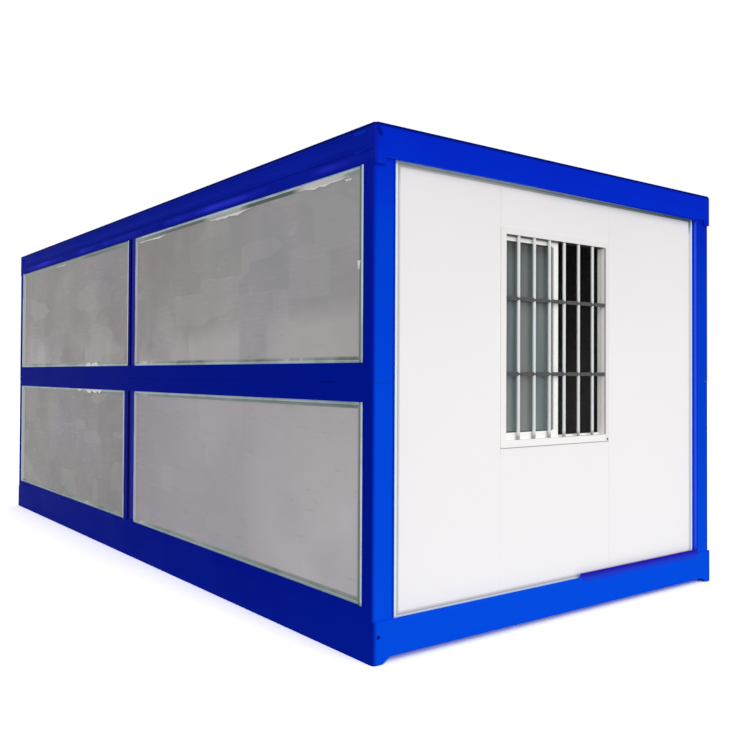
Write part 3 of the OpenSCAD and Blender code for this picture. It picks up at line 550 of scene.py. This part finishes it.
# Beside the posts the bead stands up to the face of the frame: a flat lip and a slope.
uprights = bmesh.new()
face_y, skin_y = half_width - 0.0005, half_width - 0.0135
lip_width, bead_width = 0.015, 0.058
lower_leaf, upper_leaf = (0.2455, 1.1597), (1.3383, 2.234)
for side in (-1, 1):
    for edge_x, turn, leaf in (
            (leaf_end, -1, lower_leaf), (-0.118, -1, lower_leaf),
            (-leaf_end, 1, lower_leaf), (leaf_end, -1, upper_leaf),
            (-0.056, -1, upper_leaf), (-leaf_end, 1, upper_leaf)):
        outline = [(edge_x, skin_y), (edge_x, face_y), (edge_x + turn * lip_width, face_y),
                   (edge_x + turn * bead_width, skin_y)]
        add_loft(uprights, [[(x, side * y, z) for x, y in outline] for z in leaf])
add_piece("upright_bead_lips", uprights, side_bead, "house")

# Torn white protective film under the head beads, at the fold and beside one post, and pan
# head screws through the bead.
film, tree, shader, place = new_finish("torn_protective_film")
creases = add_node(tree, "TexNoise", {"Vector": place, "Scale": 1000 / 16.7, "Detail": 3.0})
tone = add_node(tree, "Mix", {0: creases, 6: "#f0ebea", 7: "#ffffff"}, data_type="RGBA")
crease = add_node(tree, "Bump", {"Height": creases, "Strength": 0.5, "Distance": 0.001})
fill(tree, shader, {"Base Color": tone, "Roughness": 0.35, "Normal": crease})
random.seed(7)
scraps, screws = bmesh.new(), bmesh.new()
at_head, at_fold, at_post, tears = 0.0125, 0.0068, 0.0038, 14
for side in (-1, 1):
    for start, length, height, tall, inset in (
            (0.10, 0.50, 2.198, 0.014, at_head), (1.25, 0.52, 2.200, 0.020, at_head),
            (2.36, 0.36, 2.204, 0.016, at_head), (2.715, 0.055, 2.194, 0.016, at_head),
            (-1.85, 0.30, 2.206, 0.010, at_head), (-1.04, 0.37, 1.3335, -0.042, at_fold),
            (-1.01, 0.42, 1.1585, 0.032, at_fold), (-1.20, 0.10, 1.1585, 0.024, at_fold),
            (2.832, 0.024, 1.802, 0.058, at_post)):
        upper, lower = [], []
        for k in range(tears + 1):
            x = start + length * k / tears
            tapered = min(1, 0.15 + k / 3, 0.15 + (tears - k) / 3)
            ragged = tall * (0.35 + 0.65 * random.random()) * tapered
            out = side * (half_width - inset + 0.0015 * random.random())
            upper.append(scraps.verts.new((x, out, height)))
            lower.append(scraps.verts.new((x, out, height - ragged)))
        for k in range(tears):
            scraps.faces.new((upper[k], lower[k], lower[k + 1], upper[k + 1]))
    for x in (-2.742, 2.742):
        add_turned(screws, (x, side * (half_width - at_head), 2.203), (0, side, 0),
                   [(0.0075, 0), (0.0075, 0.0015), (0.0055, 0.0028), (0, 0.003)], 16)
add_piece("film_scraps", scraps, film, "house")
add_piece("bead_screws", screws, zinc, "house", smooth=True)

# Blue sealant in the joint between the side walls and the roof, and run under the roof
# end beams, thicker towards +Y.
sealant = bmesh.new()
for side in (-1, 1):
    add_block(sealant, (-2.86, side * (half_width - 0.004), 2.2905),
              (2.86, side * (half_width - 0.0012), 2.2945))
bmesh.ops.recalc_face_normals(sealant, faces=sealant.faces)
run = [(-0.25, 2.2579), (wall_edge, 2.2585), (wall_edge, 2.2455), (-0.25, 2.2565)]
for x in (-1, 1):
    add_loft(sealant, [[(x * depth, y, z) for y, z in run] for depth in (2.964, 2.9735)])
add_piece("roof_joint_sealant", sealant, enamel, "house")

# ---------------------------------------------------------------------------------------
# Roof: rolled side and end beams with plain corner blocks, zinc purlins, a ribbed sheet
# screwed down over them and a painted ceiling panel underneath.
# ---------------------------------------------------------------------------------------

for name in ("roof_side_beams", "roof_end_beams", "roof_corner_blocks"):
    coat(name, enamel)
coat("roof_purlins", zinc)

# Pale grey coated sheet with dust lying along the ribs.
sheet_coat, tree, shader, place = new_finish("coated_roof_sheet_grey")
dust_place = add_node(tree, "Mapping", {"Vector": place,
    "Scale": (1000 / 71.4, 1000 / 714, 1000 / 71.4)})
dust = add_node(tree, "TexNoise", {"Vector": dust_place, "Scale": 1, "Detail": 6.0,
    "Roughness": 0.65})
tone = add_node(tree, "Mix", {0: dust, 6: "#9da2a6", 7: "#c3c6c8"}, data_type="RGBA")
fill(tree, shader, {"Base Color": tone, "Roughness": 0.48})
coat("roof_sheet", sheet_coat)

# Hexagon screws with sealing washers hold the sheet down, four in every second pan.
sheet_screws = bmesh.new()
sheet_ribs, sheet_length, pan_height = 22, 5.69, 2.387
washer = [(0.009, 0), (0.009, 0.0012), (0.0055, 0.0016)]
hexagon = [(0.0052, 0.0012), (0.0052, 0.006), (0, 0.0064)]
for rib in range(1, sheet_ribs, 2):
    for y in (-1.05, -0.35, 0.35, 1.05):
        seat = ((rib + 0.25) / sheet_ribs * sheet_length - sheet_length / 2, y, pan_height)
        add_turned(sheet_screws, seat, (0, 0, 1), washer, 16)
        add_turned(sheet_screws, seat, (0, 0, 1), hexagon, 6)
add_piece("roof_sheet_screws", sheet_screws, zinc, "house")

# Painted lining board, matt grey white, faintly uneven from the roller.
lining = mottled_finish("rolled_matt_lining_paint", 333, 4, "#b9b9b5", "#c8c8c4",
    {"Roughness": 0.75})
coat("ceiling_panel", lining)

# ---------------------------------------------------------------------------------------
# Hinges of the end walls: zinc plated lugs and pins under the roof end beams, and the
# barrels that turn on them.
# ---------------------------------------------------------------------------------------

for name in ("window_end_lugs", "door_end_lugs", "window_wall_barrels",
             "door_wall_barrels"):
    coat(name, zinc)

# ---------------------------------------------------------------------------------------
# Window end wall: a steel surround, smooth white foam filled panels butted at two upright
# seams, and a white bead along both sides, the top and the foot.
# ---------------------------------------------------------------------------------------

coat("window_wall_frame", enamel)

# Blue seals down both edges of the wall, in the gaps beside the corner posts.
seals = bmesh.new()
for side in (-1, 1):
    low_y, high_y = sorted((side * 1.1515, side * 1.1655))
    add_block(seals, (2.9342, low_y, 0.192), (2.9375, high_y, post_head))
add_piece("wall_edge_seals", seals, enamel, "window_end_wall")

# Clean coil coating, white polyester on thin steel: a warm white, greyed a little towards
# the head by painted shade, with a faint drift.
clean_skin, tree, shader, place = new_finish("clean_white_coil_coating")
spot = add_node(tree, "SeparateXYZ", {"Vector": place}).outputs
drift = add_node(tree, "TexNoise", {"Vector": place, "Scale": 1000 / 769, "Detail": 3.0})
sway = add_node(tree, "MapRange", {"Value": drift, "From Min": 0.3, "From Max": 0.7,
    "To Min": -0.06, "To Max": 0.06})
rise = add_node(tree, "MapRange", {"Value": spot["Z"], "From Min": 0.15, "From Max": 2.3})
rise = add_node(tree, "Math", {0: rise, 1: sway}, operation="ADD", use_clamp=True)
tone = add_node(tree, "ValToRGB", {"Fac": rise}, [(0.0, "#fcfafa"), (0.55, "#fbf8f8"),
    (0.8, "#f5f2f2"), (1.0, "#f0eded")])
grain = add_node(tree, "TexNoise", {"Vector": place, "Scale": 1000 / 2.38})
relief = add_node(tree, "Bump", {"Height": grain, "Strength": 0.04, "Distance": 0.0005})
fill(tree, shader, {"Base Color": tone, "Roughness": 0.42, "Specular IOR Level": 0.3,
    "Normal": relief})
coat("window_wall_panels", clean_skin, 0.0015)

# The end bead is painted: its outer lip carries a bright painted highlight, its slope is
# grey green next to the lip, partly painted shade, and pale inside, and along the head it
# is grey green paint darkened by painted shade under the roof beam, most towards the far
# side.
end_bead, tree, shader, place = new_finish("painted_bead_grey_green")
normal = add_node(tree, "NewGeometry").outputs["Normal"]
spot = add_node(tree, "SeparateXYZ", {"Vector": place}).outputs
facing = add_node(tree, "SeparateXYZ", {"Vector": normal}).outputs
out_x = add_node(tree, "Math", {0: spot["X"]}, operation="ABSOLUTE")
depth = add_node(tree, "MapRange", {"Value": out_x, "From Min": 2.935, "From Max": 2.938})
patches = add_node(tree, "TexNoise", {"Vector": place, "Scale": 1000 / 333, "Detail": 4.0})
plain = add_node(tree, "ValToRGB", {"Fac": depth}, [(0.0, "#e6e3e2"), (0.45, "#d9d5d3"),
    (0.75, "#aeb3ab"), (1.0, "#c6cdc6")])
head = add_node(tree, "MapRange", {"Value": spot["Z"], "From Min": 2.15, "From Max": 2.22})
over = add_node(tree, "MapRange", {"Value": spot["Y"], "From Min": -1.2, "From Max": 1.0,
    "To Min": 0.25, "To Max": 0.95})
head_paint_and_shade = add_node(tree, "Math", {0: head, 1: over}, operation="MULTIPLY")
old_paint = add_node(tree, "Mix", {0: patches, 6: "#2c5450", 7: "#6d8f8a"},
    data_type="RGBA")
slope = add_node(tree, "Mix", {0: head_paint_and_shade, 6: plain, 7: old_paint}, data_type="RGBA")
flat = add_node(tree, "Math", {0: facing["X"]}, operation="ABSOLUTE")
flat = add_node(tree, "Math", {0: flat, 1: flat_on}, operation="GREATER_THAN")
tone = add_node(tree, "Mix", {0: flat, 6: slope, 7: "#eefcff"}, data_type="RGBA")
fill(tree, shader, {"Base Color": tone, "Roughness": 0.4, "Specular IOR Level": 0.3})
coat("window_wall_bead", end_bead)

# ---------------------------------------------------------------------------------------
# Sliding window: a white powder coated aluminium frame through the wall, two sashes pushed
# to the left as seen from outside, glass in black gaskets, and a barred grille.
# ---------------------------------------------------------------------------------------

# White powder coat on the aluminium frame: satin, the wall's own warm white with the same
# painted shade towards the head, and a dark grey painted shade on the underside of the
# head.
powder, tree, shader, place = new_finish("white_powder_coat_on_aluminium")
normal = add_node(tree, "NewGeometry").outputs["Normal"]
spot = add_node(tree, "SeparateXYZ", {"Vector": place}).outputs
facing = add_node(tree, "SeparateXYZ", {"Vector": normal}).outputs
texture = add_node(tree, "TexNoise", {"Vector": place, "Scale": 1000 / 111})
smear = add_node(tree, "MapRange", {"Value": texture, "From Min": 0.3, "From Max": 0.7,
    "To Min": -0.1, "To Max": 0.1})
rise = add_node(tree, "MapRange", {"Value": spot["Z"], "From Min": 0.915,
    "From Max": 2.037})
rise = add_node(tree, "Math", {0: rise, 1: smear}, operation="ADD", use_clamp=True)
tone = add_node(tree, "ValToRGB", {"Fac": rise}, [(0.0, "#fdfbfa"), (0.2, "#faf7f6"),
    (0.6, "#f8f5f4"), (0.95, "#f0eded")])
far_border = add_node(tree, "MapRange", {"Value": spot["Y"], "From Min": 0.315,
    "From Max": 0.325, "To Max": 0.5})
tone = add_node(tree, "Mix", {0: far_border, 6: tone, 7: "#e9e7e6"}, data_type="RGBA")
head_underside_shade = add_node(tree, "MapRange", {"Value": facing["Z"], "From Min": -0.3,
    "From Max": -0.9})
tone = add_node(tree, "Mix", {0: head_underside_shade, 6: tone, 7: "#4c4a48"}, data_type="RGBA")
fill(tree, shader, {"Base Color": tone, "Roughness": 0.38})
coat("window_frame", powder, 0.0015)

# The sashes have the same coat, wiped clean: a brighter white.
wiped = mottled_finish("wiped_white_powder_coat", 91, 2, "#fcfaf6", "#fffefb",
    {"Roughness": 0.3})
coat("window_sashes", wiped, 0.0015)

# Ribs of the running track on the right jamb, and the low rail of the sill they stand on.
ribs = bmesh.new()
jamb_y, track_foot, track_head = 0.3202, 0.9525, 1.9995
for deep_x, deep_y, front_x in ((2.8875, 0.3150, 2.8985), (2.8990, 0.3155, 2.9095),
                                (2.9100, 0.3155, 2.9200), (2.9205, 0.3165, 2.9290)):
    outline = [(deep_x, deep_y), (front_x, jamb_y - 0.0004), (front_x, jamb_y),
               (deep_x, jamb_y)]
    add_loft(ribs, [[(x, y, z) for x, y in outline] for z in (track_foot, track_head)])
rail_foot, rail_start, rail_stop, worn_edge = 0.9515, -0.0355, 0.3195, 0.0006
for deep_x, front_x, rail_head in ((2.8930, 2.8955, 0.9625), (2.8745, 2.8765, 0.9605)):
    add_block(ribs, (deep_x, rail_start, rail_foot), (front_x, rail_stop, rail_head),
              worn_edge)
add_piece("window_track", ribs, wiped, "window_end_wall")

# Black rubber: a gasket round the glass of each sash and a plug in the frame's corner.
rubber = mottled_finish("black_rubber_gasket", 20, 3, "#2c2b2a", "#4a4846",
    {"Roughness": 0.7, "Specular IOR Level": 0.2})
gaskets = bmesh.new()
gasket_depth = 0.002
pane_foot, pane_head, sight_foot, sight_head = 0.989, 1.973, 0.994, 1.964
pane_left, pane_right, sight_left, sight_right = -0.421, -0.084, -0.416, -0.092
for face_x in (2.9055, 2.8865):
    for low_y, low_z, high_y, high_z in (
            (pane_left, sight_head, pane_right, pane_head),
            (pane_left, pane_foot, pane_right, sight_foot),
            (pane_left, sight_foot, sight_left, sight_head),
            (sight_right, sight_foot, pane_right, sight_head)):
        add_block(gaskets, (face_x, low_y, low_z), (face_x + gasket_depth, high_y, high_z))
add_block(gaskets, (2.8745, 0.3188, 0.9605), (2.8870, 0.3199, track_head))
add_turned(gaskets, (2.938, 0.3415, 0.9265), (1, 0, 0),
           [(0.0065, -0.002), (0.0065, 0.0004), (0.004, 0.001), (0, 0.001)], 16)
add_piece("window_gaskets", gaskets, rubber, "window_end_wall")

# Grey pile and sealant: the brush over the sashes, which also paints the shadow line under
# the head, the closing strip down the right stile, a strip round the right edge of the
# opening that is only a painted shadow line, and the bead of sealant under the frame, which
# also paints the shadow line under it.
pile_and_shadow_line = mottled_finish("grey_pile_sealant_and_painted_shadow", 12.5, 3, "#8a8683", "#a8a29e",
    {"Roughness": 0.85, "Specular IOR Level": 0.2})
strips = bmesh.new()
for low, high in (((2.911, -0.4475, 1.9935), (2.9125, -0.036, 1.9998)),
                  ((2.911, pane_right, sight_foot), (2.9122, -0.074, 1.968)),
                  ((2.9375, 0.3198, 0.9535), (2.9384, 0.3262, 1.999)),
                  ((2.9335, -0.484, 0.9122), (2.9362, 0.356, 0.9152))):
    add_block(strips, low, high)
add_piece("window_strips", strips, pile_and_shadow_line, "window_end_wall")

# Float glass, partly see-through: its grey, blue and green with soft upright runs is a
# painted reflection, and painted shade makes it bluer and darker towards the head.
glass, tree, shader, place = new_finish("float_glass_painted_reflection")
spot = add_node(tree, "SeparateXYZ", {"Vector": place}).outputs
reflection_place = add_node(tree, "Mapping", {"Vector": place,
    "Scale": (1, 1000 / 62.5, 1000 / 909)})
reflection_runs = add_node(tree, "TexNoise", {"Vector": reflection_place, "Scale": 1})
tone = add_node(tree, "ValToRGB", {"Fac": reflection_runs}, [(0.3, "#74837f"), (0.45, "#7b888c"),
    (0.55, "#87918a"), (0.7, "#918f92")])
rise = add_node(tree, "MapRange", {"Value": spot["Z"], "From Min": pane_foot,
    "From Max": pane_head})
shade = add_node(tree, "ValToRGB", {"Fac": rise}, [(0.0, "#ffffff"), (0.25, "#f4f4f4"),
    (0.40, "#eef4f2"), (0.62, "#eef2f2"), (0.70, "#dcdcda"), (0.85, "#d2d6dc"),
    (0.93, "#c2c4c8"), (0.97, "#9c9a98"), (1.0, "#8a8886")])
tone = add_node(tree, "Mix", {0: 1.0, 6: tone, 7: shade}, data_type="RGBA",
    blend_type="MULTIPLY")
fill(tree, shader, {"Base Color": tone, "Roughness": 0.12, "IOR": 1.52,
    "Transmission Weight": 0.3, "Specular IOR Level": 0.35})
coat("window_glass", glass)

# Pale painted tubes of the grille, darker at their feet in painted shade, and its dark flat
# bars.
tube_paint, tree, shader, place = new_finish("pale_paint_on_tube")
spot = add_node(tree, "SeparateXYZ", {"Vector": place}).outputs
drift = add_node(tree, "TexNoise", {"Vector": place, "Scale": 1000 / 33.3, "Detail": 3.0})
tone = add_node(tree, "Mix", {0: drift, 6: "#d9dfe1", 7: "#e8eaea"}, data_type="RGBA")
foot_shade = add_node(tree, "MapRange", {"Value": spot["Z"], "From Min": 0.986,
    "From Max": 0.964})
tone = add_node(tree, "Mix", {0: foot_shade, 6: tone, 7: "#a39d99"}, data_type="RGBA")
fill(tree, shader, {"Base Color": tone, "Roughness": 0.35})
coat("window_bars", tube_paint)

flat_paint = mottled_finish("dull_dark_paint_on_flat_bar", 25, 3, "#3f4042", "#505153",
    {"Roughness": 0.6, "Specular IOR Level": 0.3})
coat("window_cross_bars", flat_paint, 0.001)

# ---------------------------------------------------------------------------------------
# Door end wall: the same surround and panels with a steel framed door in the middle.
# ---------------------------------------------------------------------------------------

coat("door_wall_frame", enamel)
coat("door_wall_panels", clean_skin, 0.0015)
coat("door_wall_bead", end_bead)
coat("door_frame", enamel, 0.002)

# Stove enamel on the pressed steel door leaf, smooth and slightly glossy.
door_enamel = mottled_finish("white_stove_enamel", 500, 3, "#e2e2e0", "#e9e9e7",
    {"Roughness": 0.3})
coat("door_leaf", door_enamel, 0.0015)

# Lock barrel in the plate under the door handle, inside and out, with its key slot.
lock, key_slot = bmesh.new(), bmesh.new()
barrel = [(0.0105, 0), (0.0105, 0.0022), (0.009, 0.0028), (0, 0.0028)]
for face_x, out in ((-2.9565, -1), (-2.8835, 1)):
    add_turned(lock, (face_x, 0.310, 1.060), (out, 0, 0), barrel, 24)
    low_x, high_x = sorted((face_x + out * 0.002, face_x + out * 0.0032))
    add_block(key_slot, (low_x, 0.309, 1.054), (high_x, 0.311, 1.066))
add_piece("door_lock", lock, zinc, "door_end_wall", smooth=True)
add_piece("door_lock_slot", key_slot, rubber, "door_end_wall")
coat("door_handle", zinc, 0.001)

# ---------------------------------------------------------------------------------------
# Studio: a white floor, an even white surround and one broad soft lamp on the window end.
# ---------------------------------------------------------------------------------------

reach = 150.0
floor_mesh = bpy.data.meshes.new("studio_floor")
floor_mesh.from_pydata([(-reach, -reach, 0), (reach, -reach, 0), (reach, reach, 0),
                        (-reach, reach, 0)], [], [(0, 1, 2, 3)])
studio_floor = bpy.data.objects.new("studio_floor", floor_mesh)
bpy.context.scene.collection.objects.link(studio_floor)
studio_floor.location.z = -0.0005


def seen_directly(tree):
    """1 for a ray from the camera or off gloss or through glass, 0 for the light's own."""
    ray = add_node(tree, "LightPath").outputs
    share = ray["Is Camera Ray"]
    for kind in ("Is Glossy Ray", "Is Transmission Ray"):
        share = add_node(tree, "Math", {0: share, 1: ray[kind]}, operation="MAXIMUM")
    return share


# White paper: it shows brighter than white to the eye, and lights the house as pale grey.
paper = bpy.data.materials.new("white_studio_floor")
paper.use_nodes = True
tree = paper.node_tree
tree.nodes.clear()
tone = add_node(tree, "Mix", {0: seen_directly(tree), 6: "#d6d6d6", 7: (2.2, 2.2, 2.2, 1)},
    data_type="RGBA")
matt = add_node(tree, "BsdfDiffuse", {"Color": tone})
add_node(tree, "OutputMaterial", {"Surface": matt})
floor_mesh.materials.append(paper)

surround = bpy.data.worlds.new("studio_surround")
bpy.context.scene.world = surround
surround.use_nodes = True
tree = surround.node_tree
tree.nodes.clear()
strength = add_node(tree, "MapRange", {"Value": seen_directly(tree), "To Min": 0.38})
light = add_node(tree, "Background", {"Color": "#ffffff", "Strength": strength})
add_node(tree, "OutputWorld", {"Surface": light})

lamp = bpy.data.lights.new("broad_lamp", "SUN")
lamp.energy = 2.54
lamp.angle = math.radians(80)
lamp_object = bpy.data.objects.new("broad_lamp", lamp)
bpy.context.scene.collection.objects.link(lamp_object)
towards = Vector((-1.0, 0.24, -0.22))
lamp_object.rotation_euler = towards.to_track_quat("-Z", "Y").to_euler()

# The camera stands outside the window end, off its left corner, at shoulder height.
camera = bpy.data.cameras.new("camera")
camera.sensor_width, camera.lens = 36.0, 41.7072
camera.shift_x, camera.shift_y = -0.0747733, -0.0194533
camera.clip_end = 500
eye = bpy.data.objects.new("camera", camera)
bpy.context.scene.collection.objects.link(eye)
eye.matrix_world = (Matrix.Translation((6.1081, -3.5152, 1.2888))
                    @ Matrix.Rotation(math.radians(140.902 - 90), 4, "Z")
                    @ Matrix.Rotation(math.radians(90.882), 4, "X")
                    @ Matrix.Rotation(math.radians(0.212), 4, "Z"))
bpy.context.scene.camera = eye
bpy.context.scene.view_settings.view_transform = "Standard"
